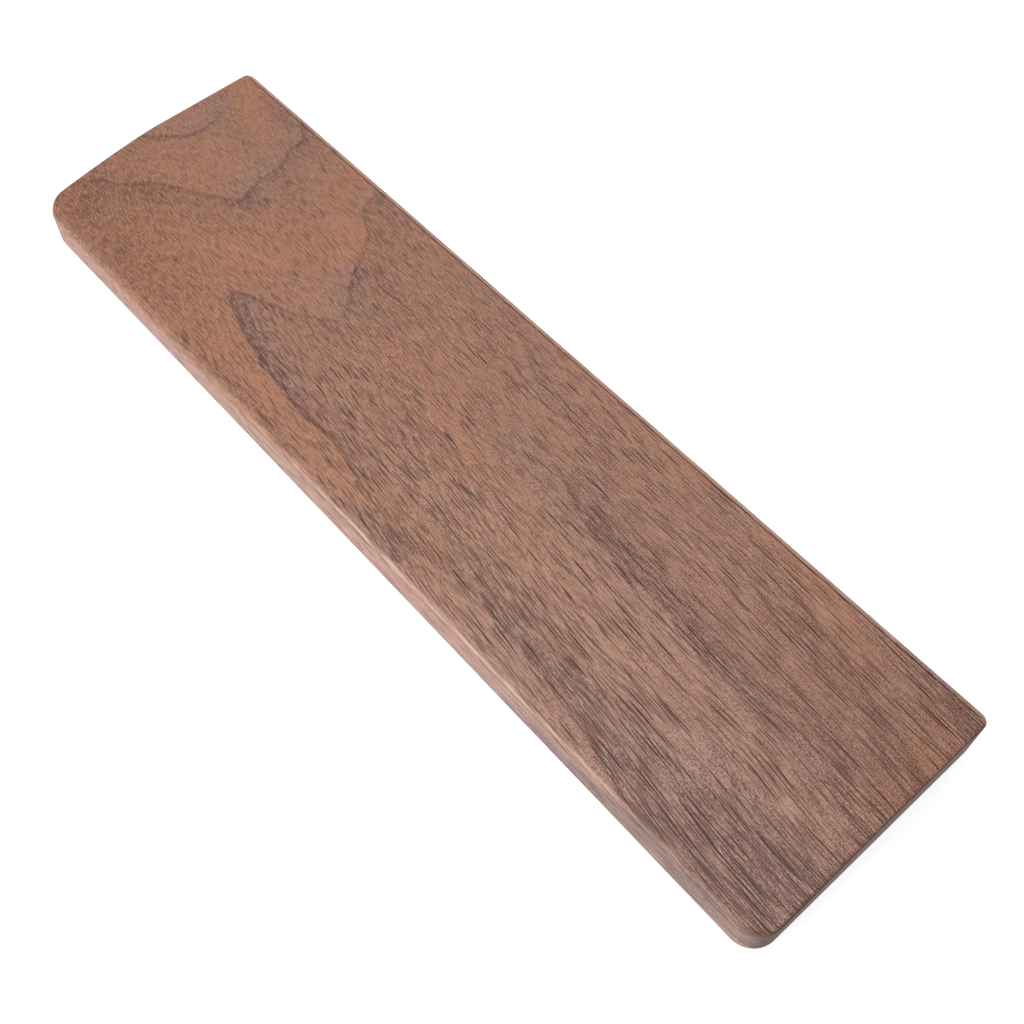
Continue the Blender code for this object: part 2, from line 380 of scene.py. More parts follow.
def smooth_path(points, step):
    """A Catmull-Rom curve through the points, divided about every step millimetres."""
    given = np.array(points, float)
    padded = np.vstack([2 * given[0] - given[1], given, 2 * given[-1] - given[-2]])
    pieces = []
    for before, start, end, after in zip(padded, padded[1:], padded[2:], padded[3:]):
        count = max(2, int(np.hypot(*(end - start)[:2]) / step))
        t = np.linspace(0.0, 1.0, count, endpoint=False)[:, None]
        pieces.append(0.5 * (
            2 * start + (end - before) * t
            + (2 * before - 5 * start + 4 * end - after) * t ** 2
            + (3 * start - before - 3 * end + after) * t ** 3
        ))
    return np.vstack(pieces + [given[-1:]])


def to_path(places, path):
    """For each place: its distance to the path (positive on the right-hand side), how far
    along the path that is, 0 to 1, and how squarely the path crosses the block there."""
    nearest = np.full(len(places), np.inf)
    side = np.ones(len(places))
    along = np.zeros(len(places))
    crossing = np.zeros(len(places))
    count = len(path) - 1
    for index in range(count):
        start, run = path[index], path[index + 1] - path[index]
        offset = places - start
        share = np.clip(offset @ run / (run @ run), 0.0, 1.0)
        gap = offset - share[:, None] * run
        distance = np.hypot(gap[:, 0], gap[:, 1])
        closer = distance < nearest
        nearest[closer] = distance[closer]
        cross = run[0] * offset[:, 1] - run[1] * offset[:, 0]
        side[closer] = np.where(cross[closer] > 0.0, -1.0, 1.0)
        along[closer] = (index + share[closer]) / count
        crossing[closer] = run[1] / np.hypot(*run)
    return nearest * side, along, crossing


def fold(x):
    """Continues the figure past the block's ends by folding it back."""
    half = LENGTH / MM / 2
    return half - np.abs((x + half) % (4 * half) - 2 * half)


DIP = 5.0                    # how far the figure shifts along the block per distance below the top


def figure_places(points):
    """Where on the top each point reads its figure, in millimetres."""
    along = points[:, 0] + DIP * drop_below_top(points)
    return np.column_stack([fold(along / MM), points[:, 1] / MM])


NEW_WOOD_REACH = 14.0        # how far the new wood beside a growth line fades out, millimetres
NO_LINE_NEAR = 60.0          # the distance that stands for none, millimetres


def growth_fields(places):
    """Signed distance to the nearest growth line, how squarely it crosses the block, the
    darkness of its line and band there, and how strong its new wood is."""
    nearest = np.full(len(places), NO_LINE_NEAR)
    crossing = np.zeros(len(places))
    line = np.zeros(len(places))
    band = np.zeros(len(places))
    new_wood = np.zeros(len(places))
    for line_dark, band_dark, reach, newness, points in GROWTH_LINES.values():
        path = smooth_path(points, GROWTH_LINE_STEP)
        distance, along, square = to_path(places, path[:, :2])
        strength = np.interp(along, np.linspace(0.0, 1.0, len(path)), path[:, 2])
        fading = band_dark * strength * np.exp(-np.abs(distance) / reach)
        closer = np.abs(distance) < np.abs(nearest)
        nearest[closer] = distance[closer]
        crossing[closer] = square[closer]
        line[closer] = line_dark * strength[closer]
        band[closer] = fading[closer]
        newest = newness * np.sqrt(strength) * np.exp(-np.abs(distance) / NEW_WOOD_REACH)
        new_wood[closer] = newest[closer]
    return nearest, crossing, line, band, new_wood


def streak_field(places, streaks):
    """Sum of soft streaks that taper towards their ends."""
    total = np.zeros(len(places))
    for amount, width, points in streaks:
        distance, _, _ = to_path(places, smooth_path(points, STREAK_STEP))
        total += amount * np.exp(-(distance / width) ** 2)
    return total


PORE_SHORT, PORE_LONG = 5.5, 28.0      # pore cell lengths at the left and the right end, millimetres
GRAIN_SLOPE = 0.055                    # how far the grain drifts forward per length, in the middle
SLOPE_CHANGE = 0.0008                  # how that drift changes per millimetre across the block
# Waves in the grain: how far it sways, the spans along and across the block per turn of one
# radian, in millimetres, and the phase.
GRAIN_WAVES = [(0.5, 31.0, 17.0, 0.0), (0.25, 13.0, -9.0, 1.0)]
DEPTH_DRIFT = 0.02                     # how far the grain rises per length
DEPTH_SWAY, DEPTH_SPAN, DEPTH_PHASE = 0.4, 23.0, 2.0
# Where the grain is turned: how much, where, and how far that reaches each way (millimetres).
GRAIN_TURNS = [
    (0.16, (-121, 6), (13, 15)), (0.10, (-60, 19), (14, 10)), (-0.10, (27, 14), (7, 7)),
    (0.06, (128, -6), (16, 10)), (-0.05, (60, 24), (20, 8)),
]


def grain_coordinates(points):
    """Along the grain in pore cells, and across it in millimetres both ways."""
    x, y, z = (points / MM).T
    length = LENGTH / MM
    share = (x + length / 2) / length
    growth = math.log(PORE_LONG / PORE_SHORT)
    cells = length / (growth * PORE_SHORT) * (1.0 - np.exp(-growth * share))
    across = y + (GRAIN_SLOPE - SLOPE_CHANGE * y) * x
    for sway, span_x, span_y, phase in GRAIN_WAVES:
        across += sway * np.sin(x / span_x + y / span_y + phase)
    for turn, (turn_x, turn_y), (reach_x, reach_y) in GRAIN_TURNS:
        gap_x, gap_y = x - turn_x, y - turn_y
        across += turn * gap_x * np.exp(-(gap_x / reach_x) ** 2 - (gap_y / reach_y) ** 2)
    depth = z + DEPTH_DRIFT * x + DEPTH_SWAY * np.sin(x / DEPTH_SPAN + DEPTH_PHASE)
    return np.column_stack([cells, across, depth])


STAGGER = 1.24                         # how far each row of pores is shifted, in cells per millimetre
UNDERSIDE_NORMAL = -0.7                # a point faces down if its normal's z is below this


def pore_coordinates(grain, points, normals):
    """The grain coordinates laid flat: across the top, down the long sides and from the front
    side on underneath, so that each pore is a full ellipse wherever it comes to the surface.
    Rows are staggered."""
    y = points[:, 1]
    drop = drop_below_top(points)
    around = np.where(y < 0.0, -drop, drop)
    beneath = normals[:, 2] < UNDERSIDE_NORMAL
    around[beneath] = -FRONT_HEIGHT - DEPTH - 2.0 * y[beneath]
    across = grain[:, 1] + around / MM
    return np.column_stack([grain[:, 0] + STAGGER * across, across, np.zeros(len(points))])


# Broad darkening of the block.  The rows limited to the front are painted shade where the top slopes down
# towards the front; the others darken it towards the right end and the left end.  Each row holds the
# darkness added, between which distances behind the middle it grows from nothing to full (millimetres), and
# between which shares of the length, counted from the left end.  EVERYWHERE is for a direction in which it
# doesn't change.
EVERYWHERE = None
FRONT_HALF = (4.0, -6.0)
FRONT_STRIP = (-8.0, -22.0)
BROAD_SHADES = [
    (0.10, FRONT_HALF, EVERYWHERE),
    (0.17, (-15.0, -35.0), EVERYWHERE),
    (0.50, EVERYWHERE, (0.80, 0.98)),
    (0.28, FRONT_STRIP, (0.30, 0.10)),
    (0.36, FRONT_STRIP, (0.86, 0.96)),
    (0.10, FRONT_HALF, (0.70, 0.80)),
    (0.12, EVERYWHERE, (0.20, 0.10)),
]

# Painted sheen, where the wood is made paler in place of light glancing off the oil: along the front top
# edge and down the front side, and on the rear top edge.
SHEEN_BEGINS = (0.3, 0.5)               # shares of the length between which the front's painted sheen grows
SHEEN_EASES, SHEEN_EASED = (0.78, 0.93), 0.7    # where it lessens again, and by how much
SHEEN_LOWEST_NORMAL = -0.3                  # no painted sheen where the normal's z is below this
FRONT_EDGE_AT, FRONT_EDGE_WIDTH = -0.4, 0.7   # millimetres up from the middle of the round
FRONT_SIDE_REACH = 2.0                 # millimetres down the side to its full paleness
REAR_EDGE_AT, REAR_EDGE_WIDTH = 0.55, 0.35    # shares of the round, up from its middle
FRONT_EDGE_PALER, FRONT_SIDE_PALER, REAR_EDGE_PALER = 0.40, 0.46, 1.1
REAR_EDGE_SHEEN = 0.22                  # how strong the rear edge's painted sheen is beside the front one

# Each at the left end, and what is added by the right end or towards the front.
WARMTH_LEFT, WARMTH_RIGHT, WARMTH_FRONT = 0.62, -0.45, 0.12
PORES_LEFT, PORES_RIGHT, PORES_FRONT_RIGHT = 0.46, 0.18, 0.12
PORE_DARK_LEFT, PORE_DARK_RIGHT = 0.80, 0.37


def rise(values, start, end):
    """0 at the start, 1 at the end and beyond, and straight between."""
    return np.clip((values - start) / (end - start), 0.0, 1.0)


def bell(values, centre, width):
    return np.exp(-((values - centre) / width) ** 2)


def broad_shade(places, to_right):
    """The sum of the broad shades at each place."""
    total = np.zeros(len(places))
    for amount, behind, along in BROAD_SHADES:
        shade = np.full(len(places), amount)
        if behind is not EVERYWHERE:
            shade *= rise(places[:, 1], *behind)
        if along is not EVERYWHERE:
            shade *= rise(to_right, *along)
        total += shade
    return total


def painted_sheen(points, normals, to_right):
    """Painted sheen on the front top edge, the front side and the rear top edge, 0 to 1.  The underside and
    the ends get none."""
    drop = drop_below_top(points)
    sheen_facing = (normals[:, 2] > SHEEN_LOWEST_NORMAL) * (1.0 - np.abs(normals[:, 0]))
    spread = rise(to_right, *SHEEN_BEGINS) * (1.0 - SHEEN_EASED * rise(to_right, *SHEEN_EASES)) * sheen_facing
    from_front = (points[:, 1] + DEPTH / 2 - drop) / MM
    front_edge = bell(from_front, FRONT_EDGE_AT, FRONT_EDGE_WIDTH) * spread
    front_side = rise(from_front, 0.0, -FRONT_SIDE_REACH) * spread
    from_rear = (DEPTH / 2 - points[:, 1] - drop) / REAR_TOP_ROUND
    rear_edge = bell(from_rear, REAR_EDGE_AT, REAR_EDGE_WIDTH) * sheen_facing
    return front_edge, front_side, rear_edge


def add_attribute(mesh, name, values):
    """Stores one number, or one vector, for each of the mesh's points."""
    kind, field = ("FLOAT_VECTOR", "vector") if values.ndim == 2 else ("FLOAT", "value")
    attribute = mesh.attributes.new(name, kind, "POINT")
    attribute.data.foreach_set(field, values.astype(np.float32).ravel())


def point_vectors(mesh, field):
    """One vector of each of the mesh's points, its place (co) or its normal."""
    values = np.empty(len(mesh.vertices) * 3)
    mesh.vertices.foreach_get(field, values)
    return values.reshape(-1, 3)


def paint_figure(mesh):
    """Stores the figure on the mesh's points, for the wood material to read."""
    points = point_vectors(mesh, "co")
    normals = point_vectors(mesh, "normal")
    grain = grain_coordinates(points)
    places = figure_places(points)
    nearest, crossing, line, band, new_wood = growth_fields(places)
    to_right = places[:, 0] / (LENGTH / MM) + 0.5
    front_half = rise(places[:, 1], *FRONT_HALF)
    front_strip = rise(places[:, 1], *FRONT_STRIP)
    front_edge, front_side, rear_edge = painted_sheen(points, normals, to_right)
    # The tone: the streaks and the broad darkening, whose rows along the front are painted shade, made paler
    # by painted sheen on the top edges and the front side.
    tone = streak_field(places, STREAKS) + broad_shade(places, to_right)
    tone -= FRONT_EDGE_PALER * front_edge + FRONT_SIDE_PALER * front_side + REAR_EDGE_PALER * rear_edge
    warmth = WARMTH_LEFT + WARMTH_RIGHT * to_right + WARMTH_FRONT * front_half
    pore_density = PORES_LEFT + to_right * (PORES_RIGHT + PORES_FRONT_RIGHT * front_strip)
    add_attribute(mesh, "ring_distance", nearest)
    add_attribute(mesh, "ring_crossing", crossing)
    add_attribute(mesh, "ring_line", line)
    add_attribute(mesh, "ring_band", band)
    add_attribute(mesh, "ring_new", new_wood)
    add_attribute(mesh, "tone", tone)
    # painted sheen on the top edges, mixed into the colour
    add_attribute(mesh, "sheen_edge", front_edge + REAR_EDGE_SHEEN * rear_edge)
    add_attribute(mesh, "warmth", warmth + streak_field(places, WARM_STREAKS))
    add_attribute(mesh, "pore_density", pore_density)
    add_attribute(mesh, "pore_depth", np.minimum(PORE_DARK_LEFT + PORE_DARK_RIGHT * to_right, 1.0))
    add_attribute(mesh, "end_grain", np.abs(normals[:, 0]))
    add_attribute(mesh, "grain", grain)
    add_attribute(mesh, "pore_place", pore_coordinates(grain, points, normals))


# ---------------------------------------------------------------- material helpers
# A mix node's own numbers for its colour sockets, whose names it uses more than once.
MIX_SHARE, MIX_LOW, MIX_HIGH, MIX_RESULT = 0, 6, 7, 2


class Nodes:
    """Short forms for building a material's nodes."""

    def __init__(self, name):
        self.material = bpy.data.materials.new(name)
        self.material.use_nodes = True
        self.tree = self.material.node_tree
        self.shader = self.tree.nodes["Principled BSDF"]

    def link(self, source, target):
        self.tree.links.new(source, target)

    def plug(self, socket, value):
        """Gives a socket another node's output, or a plain value."""
        if isinstance(value, bpy.types.NodeSocket):
            self.link(value, socket)
        else:
            socket.default_value = value

    def math(self, operation, *values, clamp=False):
        node = self.tree.nodes.new("ShaderNodeMath")
        node.operation = operation
        node.use_clamp = clamp
        for socket, value in zip(node.inputs, values):
            self.plug(socket, value)
        return node.outputs[0]

    def ramp(self, value, low, high, to_low=0.0, to_high=1.0, smooth=True):
        """Goes from to_low, where the value is low, to to_high, where it is high."""
        node = self.tree.nodes.new("ShaderNodeMapRange")
        node.interpolation_type = "SMOOTHSTEP" if smooth else "LINEAR"
        for name, given in (
            ("Value", value), ("From Min", low), ("From Max", high), ("To Min", to_low), ("To Max", to_high),
        ):
            self.plug(node.inputs[name], given)
        return node.outputs[0]

    def vary(self, base, value, amount, clamp=False):
        """Adds to the base the amount times the value's departure from 0.5, its middle."""
        return self.math("MULTIPLY_ADD", self.math("SUBTRACT", value, 0.5), amount, base, clamp=clamp)

    def mix(self, share, low, high):
        """A colour between two, each of which is an output or three plain numbers."""
        node = self.tree.nodes.new("ShaderNodeMix")
        node.data_type = "RGBA"
        self.plug(node.inputs[MIX_SHARE], share)
        for number, colour in ((MIX_LOW, low), (MIX_HIGH, high)):
            given = isinstance(colour, bpy.types.NodeSocket)
            self.plug(node.inputs[number], colour if given else (*colour, 1.0))
        return node.outputs[MIX_RESULT]

    def attribute(self, name, output="Fac"):
        node = self.tree.nodes.new("ShaderNodeAttribute")
        node.attribute_name = name
        return node.outputs[output]

    def object_place(self):
        return self.tree.nodes.new("ShaderNodeTexCoord").outputs["Object"]

    def stretch(self, vector, scale, offset=(0.0, 0.0, 0.0)):
        node = self.tree.nodes.new("ShaderNodeMapping")
        self.link(vector, node.inputs["Vector"])
        node.inputs["Scale"].default_value = scale
        node.inputs["Location"].default_value = offset
        return node.outputs[0]

    def noise(self, vector, scale, detail, roughness=0.5):
        node = self.tree.nodes.new("ShaderNodeTexNoise")
        self.link(vector, node.inputs["Vector"])
        node.inputs["Scale"].default_value = scale
        node.inputs["Detail"].default_value = detail
        node.inputs["Roughness"].default_value = roughness
        return node.outputs["Fac"]

    def drawn_noise(self, vector, drawing):
        """A noise given as its stretch, its offset, its detail and its roughness."""
        stretch, offset, detail, roughness = drawing
        return self.noise(self.stretch(vector, stretch, offset), 1.0, detail, roughness)

    def voronoi(self, vector, dimensions="3D"):
        """How far the middle of the nearest cell is, and that cell's own random colour."""
        node = self.tree.nodes.new("ShaderNodeTexVoronoi")
        node.voronoi_dimensions = dimensions
        self.link(vector, node.inputs["Vector"])
        node.inputs["Scale"].default_value = 1.0
        return node.outputs["Distance"], node.outputs["Color"]

    def split(self, colour):
        node = self.tree.nodes.new("ShaderNodeSeparateColor")
        self.link(colour, node.inputs[0])
        return node.outputs

    def bump(self, height, strength, distance):
        node = self.tree.nodes.new("ShaderNodeBump")
        node.inputs["Strength"].default_value = strength
        node.inputs["Distance"].default_value = distance
        self.link(height, node.inputs["Height"])
        return node.outputs[0]


# ---------------------------------------------------------------- walnut
LIGHT_ORANGE = (0.410, 0.184, 0.102)
LIGHT_GREY = (0.368, 0.195, 0.141)
DARK_ORANGE = (0.122, 0.038, 0.018)
DARK_GREY = (0.100, 0.033, 0.025)
PORE_COLOUR = (0.045, 0.010, 0.006)
# the painted glint round each pore
GLINT_COLOUR = (0.62, 0.41, 0.32)
# end grain: its own darker colour, made darker still as painted shade
END_COLOUR = (0.056, 0.034, 0.029)
END_PORE_COLOUR = (0.014, 0.007, 0.006)
# pale colour of the painted sheen on the top edges
SHEEN_COLOUR = (0.62, 0.44, 0.37)

# Noises, each as its stretch, its offset, its detail and its roughness.  These are drawn in the
# grain coordinates:
UNMOVED = (0.0, 0.0, 0.0)
SLOW_NOISE = ((0.25, 0.09, 0.09), UNMOVED, 3.0, 0.55)
MIDDLE_NOISE = ((0.45, 0.50, 0.50), (3.0, 7.0, 1.0), 4.0, 0.6)
PATCH_NOISE = ((0.70, 0.32, 0.32), (7.0, 1.0, 5.0), 2.0, 0.5)
RAGGED_NOISE = ((1.3, 1.6, 1.6), (11.0, 4.0, 2.0), 2.0, 0.6)
WAVY_NOISE = ((0.9, 0.25, 0.25), (4.0, 8.0, 6.0), 2.0, 0.5)
# these in the pore coordinates:
CORD_NOISE = ((1.6, 4.4, 1.0), (2.0, 9.0, 4.0), 0.6, 0.5)
# the next breaks the painted sheen into streaks
SHEEN_NOISE = ((0.8, 2.6, 1.0), (5.0, 3.0, 2.0), 1.0, 0.5)
# and these in metres:
FIBRE_NOISE = ((620.0, 2900.0, 2900.0), UNMOVED, 1.0, 0.6)
GRIT_NOISE = ((2400.0, 4200.0, 4200.0), UNMOVED, 0.0, 0.5)

# Between which values each noise, and the facing of the end grain, counts from low to high.
MIDDLE_RANGE = (0.25, 0.75)
PATCH_RANGE = (0.30, 0.70)
CORD_RANGE = (0.42, 0.64)
SHEEN_RANGE = (0.36, 0.60)
FIBRE_RANGE = (0.2, 0.8)
END_RANGE = (0.40, 0.98)

# Growth lines, in millimetres: how far the pores start early or late where a line crosses the
# grain, how far a line wavers, and over which distances the new wood and the thin line fade.
RAGGED_REACH = 2.8
WAVY_REACH = 1.4
NEW_SIDE_EDGE = (-0.7, 0.9)
THIN_LINE_EDGE = (0.1, 1.0)

# How dark the plain wood is, between light at 0 and dark at 1, and what each thing adds to it.
BODY_DARK = 0.085
BAND_DARK, LINE_DARK, NEW_WOOD_DARK = 0.95, 1.05, 0.16
SLOW_DARK, MIDDLE_DARK, FIBRE_DARK, GRIT_DARK = 0.30, 0.12, 0.9, 2.8
BAND_SHARE = (0.7, 1.2)                # of the band, where the middle noise is low and high
TONE_SHARE = (0.40, 0.64)              # of the tone, in the same way
CORD_DARK, CORD_DARK_PORES, CORD_DARK_FIGURE = 0.07, 0.14, 0.4
CORD_SHARE = (0.85, 1.15)              # of the cords, where the patch noise is low and high
CORD_MIDDLE = 0.40                     # taken off the cords, so that they don't darken it all

# What each thing adds to the warmth, between grey at 0 and orange at 1.
SLOW_WARM, FIGURE_WARM, NEW_WOOD_WARM = -0.5, -0.70, -0.10

# The pores: one layer of large ones and one of small ones, in cells.  A cell is as long as the
# grain coordinates make it.
PORE_ACROSS = 0.50                     # a large cell's size across the grain, millimetres
SMALL_ALONG, SMALL_ACROSS = 1.6, 1.25  # how many small cells lie in a large one, each way
LARGE_SEED, SMALL_SEED = 0.0, 4.3      # how far each layer is moved, so that they don't coincide
SEED_ACROSS = 0.7                      # how much of that goes across the grain
PORE_RADIUS = (0.20, 0.34)             # in cells, from the smallest to the largest
PORE_FLOOR = 0.80                      # the share of the radius that is fully dark
GLINT_REACH = 1.8                        # how far the painted glint round a pore goes, in radii
PRESENT_EDGE = (-0.02, 0.10)           # density above a cell's own chance: absent to present
SMALL_DARK, SMALL_GLINT = 0.75, 0.7     # a small pore and its painted glint beside a large one
GLINT_SHARE = 0.32                       # how strongly a painted glint shows
PORES_NEW_WOOD = 0.40                  # how much denser the pores are in new wood
CROWDED_SHARE = (0.80, 1.20)           # of the density, where the patch noise is low and high
CROWDED_LINE, CROWDED_TONE = 0.5, 0.22

# The ends: pores cut across, in cells per metre.
CUT_CELLS = (300.0, 2200.0, 2200.0)
CUT_PORE_EDGE = (0.18, 0.34)
CUT_PORE_CHANCE = (0.45, 0.55)
END_SHARE, SHEEN_SHARE = 0.80, 0.80     # how strongly the end grain, partly painted shade, and the painted sheen show

# The oiled surface.
OIL_IOR = 1.45
ROUGHNESS = (0.29, 0.41)               # where the fibre noise is low and high
PORE_ROUGHER, END_ROUGHER = 0.30, 0.20
SHINE, END_SHINE = 0.5, 0.18
CORD_DEEP, FIBRE_HIGH = 0.35, 0.25     # beside a pore's depth
GRAIN_BUMP, GRAIN_BUMP_DEPTH = 0.5, 0.10 * MM


def pore_layer(n, places, density, along, across, seed):
    """Vessel pores: long thin cells, some of them empty.  Returns the pore and the painted glint round it.
    """
    places = n.stretch(places, (along, across, 1.0), (seed, seed * SEED_ACROSS, 0.0))
    distance, colour = n.voronoi(places, dimensions="2D")
    chance, size, _ = n.split(colour)[:3]
    radius = n.ramp(size, 0.0, 1.0, *PORE_RADIUS, smooth=False)
    inside = n.ramp(distance, n.math("MULTIPLY", radius, PORE_FLOOR), radius, 1.0, 0.0)
    glint = n.ramp(distance, radius, n.math("MULTIPLY", radius, GLINT_REACH), 1.0, 0.0)
    present = n.ramp(n.math("SUBTRACT", density, chance), *PRESENT_EDGE)
    pore = n.math("MULTIPLY", inside, present)
    return pore, n.math("MULTIPLY", n.math("SUBTRACT", glint, inside), present)


def all_pores(n, pore_place, crowding):
    """The large and the small pores together, and the painted glints round them."""
    large, large_glint = pore_layer(n, pore_place, crowding, 1.0, 1.0 / PORE_ACROSS, LARGE_SEED)
    small, small_glint = pore_layer(
        n, pore_place, crowding, SMALL_ALONG, SMALL_ACROSS / PORE_ACROSS, SMALL_SEED
    )
    pore = n.math("MAXIMUM", large, n.math("MULTIPLY", small, SMALL_DARK))
    glint = n.math("MAXIMUM", large_glint, n.math("MULTIPLY", small_glint, SMALL_GLINT))
    return pore, glint


def growth_figure(n, grain, middle):
    """The thin growth lines, the soft bands beside them and the new wood beyond."""
    ragged = n.drawn_noise(grain, RAGGED_NOISE)
    wavy = n.drawn_noise(grain, WAVY_NOISE)
    # The pores start early or late along the grain, and the line wavers a little
    early = n.math("MULTIPLY", n.attribute("ring_crossing"), RAGGED_REACH)
    distance = n.vary(n.attribute("ring_distance"), ragged, early)
    distance = n.vary(distance, wavy, WAVY_REACH)
    new_side = n.ramp(distance, *NEW_SIDE_EDGE)
    line = n.ramp(n.math("ABSOLUTE", distance), *THIN_LINE_EDGE, 1.0, 0.0)
    line = n.math("MULTIPLY", line, n.attribute("ring_line"))
    band = n.math("MULTIPLY", new_side, n.attribute("ring_band"))
    band = n.math("MULTIPLY", band, n.ramp(middle, *MIDDLE_RANGE, *BAND_SHARE))
    return line, band, n.math("MULTIPLY", new_side, n.attribute("ring_new"))


def end_wood(n, place):
    """The colour of the end grain, partly painted shade, with its pores cut across."""
    distance, colour = n.voronoi(n.stretch(place, CUT_CELLS))
    pore = n.ramp(distance, *CUT_PORE_EDGE, 1.0, 0.0)
    pore = n.math("MULTIPLY", pore, n.ramp(n.split(colour)[0], *CUT_PORE_CHANCE))
    return n.mix(pore, END_COLOUR, END_PORE_COLOUR)


def walnut_material():
    n = Nodes("walnut")
    grain = n.attribute("grain", "Vector")
    pore_place = n.attribute("pore_place", "Vector")
    place = n.object_place()
    tone = n.attribute("tone")
    end_grain = n.ramp(n.attribute("end_grain"), *END_RANGE)

    # Slow, middle and fine variation, all drawn out along the grain
    slow = n.drawn_noise(grain, SLOW_NOISE)
    middle = n.drawn_noise(grain, MIDDLE_NOISE)
    patch = n.drawn_noise(grain, PATCH_NOISE)
    fibre = n.drawn_noise(place, FIBRE_NOISE)
    grit = n.drawn_noise(place, GRIT_NOISE)

    line, band, new_wood = growth_figure(n, grain, middle)
    figure = n.math("ADD", line, band)
    density = n.math("MULTIPLY_ADD", new_wood, PORES_NEW_WOOD, n.attribute("pore_density"))

    # Fine dark cords between the pores
    cord = n.ramp(n.drawn_noise(pore_place, CORD_NOISE), *CORD_RANGE)
    cord_dark = n.math("MULTIPLY_ADD", density, CORD_DARK_PORES, CORD_DARK)
    cord_dark = n.math("MULTIPLY", cord_dark, n.ramp(patch, *PATCH_RANGE, *CORD_SHARE))
    cord_dark = n.math("MULTIPLY_ADD", figure, CORD_DARK_FIGURE, cord_dark)
    cord_dark = n.math("MULTIPLY", n.math("SUBTRACT", cord, CORD_MIDDLE), cord_dark)

    dark = n.math("MULTIPLY_ADD", band, BAND_DARK, BODY_DARK)
    dark = n.math("MULTIPLY_ADD", line, LINE_DARK, dark)
    dark = n.math("MULTIPLY_ADD", new_wood, NEW_WOOD_DARK, dark)
    dark = n.math("MULTIPLY_ADD", tone, n.ramp(middle, *MIDDLE_RANGE, *TONE_SHARE), dark)
    dark = n.math("ADD", dark, cord_dark)
    dark = n.vary(dark, slow, SLOW_DARK)
    dark = n.vary(dark, middle, MIDDLE_DARK)
    dark = n.vary(dark, fibre, FIBRE_DARK)
    dark = n.vary(dark, grit, GRIT_DARK, clamp=True)
    warmth = n.vary(n.attribute("warmth"), slow, SLOW_WARM)
    warmth = n.math("MULTIPLY_ADD", figure, FIGURE_WARM, warmth)
    warmth = n.math("MULTIPLY_ADD", new_wood, NEW_WOOD_WARM, warmth, clamp=True)
    light_wood = n.mix(warmth, LIGHT_GREY, LIGHT_ORANGE)
    dark_wood = n.mix(warmth, DARK_GREY, DARK_ORANGE)
    colour = n.mix(dark, light_wood, dark_wood)

    # Pores, none of them on the ends, where they are cut across instead
    crowding = n.math("MULTIPLY", density, n.ramp(patch, *PATCH_RANGE, *CROWDED_SHARE))
    crowding = n.math("MULTIPLY_ADD", line, CROWDED_LINE, crowding)
    crowding = n.math("MULTIPLY_ADD", tone, CROWDED_TONE, crowding)
    pore, glint = all_pores(n, pore_place, crowding)
    along_grain = n.math("SUBTRACT", 1.0, end_grain)
    pore = n.math("MULTIPLY", pore, along_grain)
    glint = n.math("MULTIPLY", glint, along_grain)
    # A painted glint round each pore, then the pore itself
    colour = n.mix(n.math("MULTIPLY", glint, GLINT_SHARE), colour, GLINT_COLOUR)
    colour = n.mix(n.math("MULTIPLY", pore, n.attribute("pore_depth")), colour, PORE_COLOUR)

    # Painted sheen in streaks on the top edges, and the ends, whose colour is partly painted shade
    sheen = n.ramp(n.drawn_noise(pore_place, SHEEN_NOISE), *SHEEN_RANGE)
    sheen = n.math("MULTIPLY", n.attribute("sheen_edge"), sheen)
    colour = n.mix(n.math("MULTIPLY", sheen, SHEEN_SHARE), colour, SHEEN_COLOUR)
    colour = n.mix(n.math("MULTIPLY", end_grain, END_SHARE), colour, end_wood(n, place))
    n.link(colour, n.shader.inputs["Base Color"])

    rough = n.ramp(fibre, *FIBRE_RANGE, *ROUGHNESS)
    rough = n.math("MULTIPLY_ADD", pore, PORE_ROUGHER, rough)
    rough = n.math("MULTIPLY_ADD", end_grain, END_ROUGHER, rough)
    n.link(rough, n.shader.inputs["Roughness"])
    n.shader.inputs["IOR"].default_value = OIL_IOR
    n.link(n.ramp(end_grain, 0.0, 1.0, SHINE, END_SHINE), n.shader.inputs["Specular IOR Level"])

    height = n.math("MULTIPLY", n.math("MULTIPLY_ADD", cord, CORD_DEEP, pore), -1.0)
    height = n.math("MULTIPLY_ADD", fibre, FIBRE_HIGH, height)
    n.link(n.bump(height, GRAIN_BUMP, GRAIN_BUMP_DEPTH), n.shader.inputs["Normal"])
    return n.material


# ---------------------------------------------------------------- rubber and adhesive
CLOUD_DETAIL = 3.0
CLOUD_RANGE = (0.3, 0.7)               # between which values the cloud counts from low to high
RUBBER_CLOUDS, RUBBER_GRAINS = 420.0, 5200.0  # noise scales per metre
RUBBER_GRAIN_DETAIL = 2.0
RUBBER_COLOURS = (0.016, 0.016, 0.017), (0.032, 0.032, 0.034)
RUBBER_ROUGHNESS = (0.62, 0.82)
RUBBER_BUMP, RUBBER_BUMP_DEPTH = 0.35, 0.05 * MM
ADHESIVE_CLOUDS = 700.0
ADHESIVE_COLOURS = (0.50, 0.49, 0.45), (0.64, 0.63, 0.60)
ADHESIVE_ROUGHNESS = (0.25, 0.45)
ADHESIVE_BUMP, ADHESIVE_BUMP_DEPTH = 0.2, 0.03 * MM


def clouded(name, scale, colours, roughness):
    """A material that varies a little in colour and roughness: its nodes and that cloud."""
    n = Nodes(name)
    cloud = n.noise(n.object_place(), scale, CLOUD_DETAIL)
    n.link(n.mix(cloud, *colours), n.shader.inputs["Base Color"])
    n.link(n.ramp(cloud, *CLOUD_RANGE, *roughness), n.shader.inputs["Roughness"])
    return n, cloud


